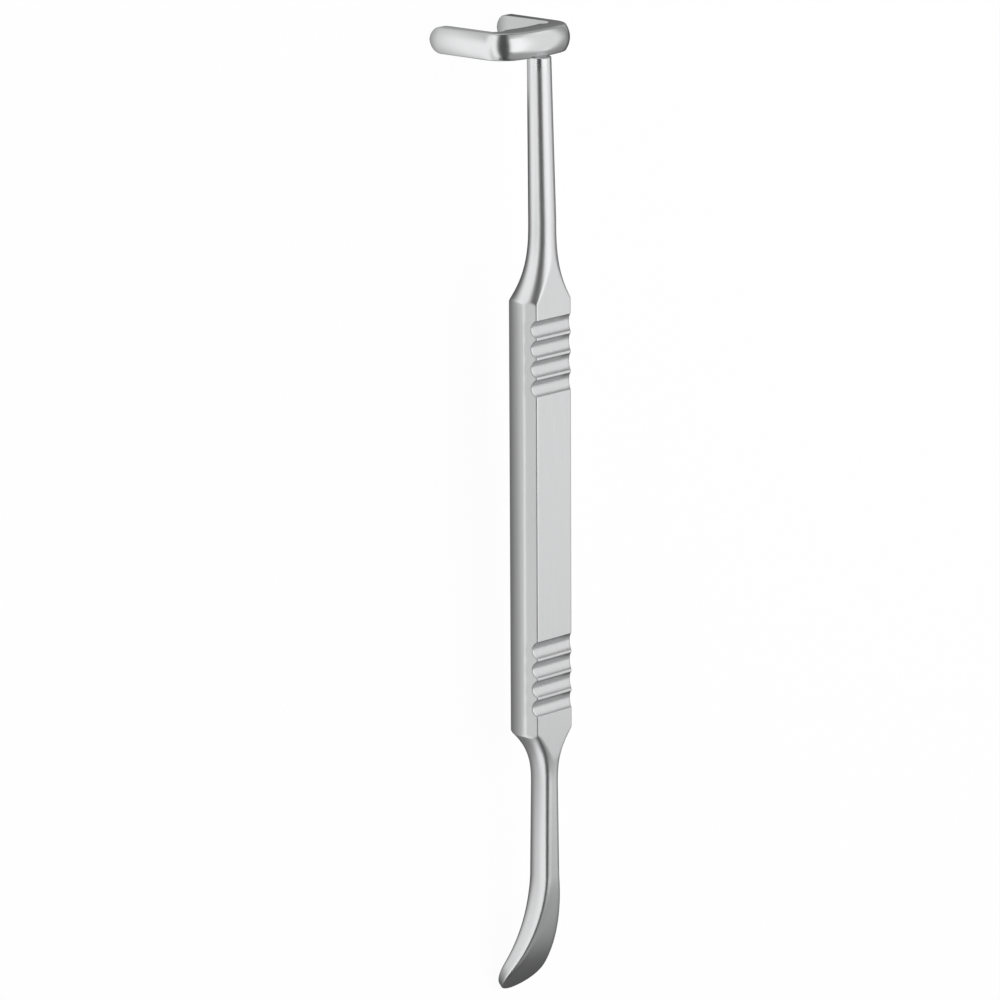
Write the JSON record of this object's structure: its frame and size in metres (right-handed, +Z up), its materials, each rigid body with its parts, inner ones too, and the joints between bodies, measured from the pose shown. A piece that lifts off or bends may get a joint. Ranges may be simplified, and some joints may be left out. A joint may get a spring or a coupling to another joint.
{
  "type": "rib elevator",
  "caption": "One-piece steel surgical elevator: C-shaped stripper head, round shank, eight-sided grooved handle and a curved, flared blade.",
  "frame": {"origin": "on the surface it lies on, under the middle of its outline seen from above", "axes": "+Y along the instrument towards the C-shaped head, +Z up, away from the surface it lies on"},
  "size_m": [0.026, 0.2222, 0.024],
  "materials": {
    "satin_steel": "satin"
  },
  "bodies": {
    "root": {"rib_elevator": "satin_steel"}
  },
  "joints": []
}
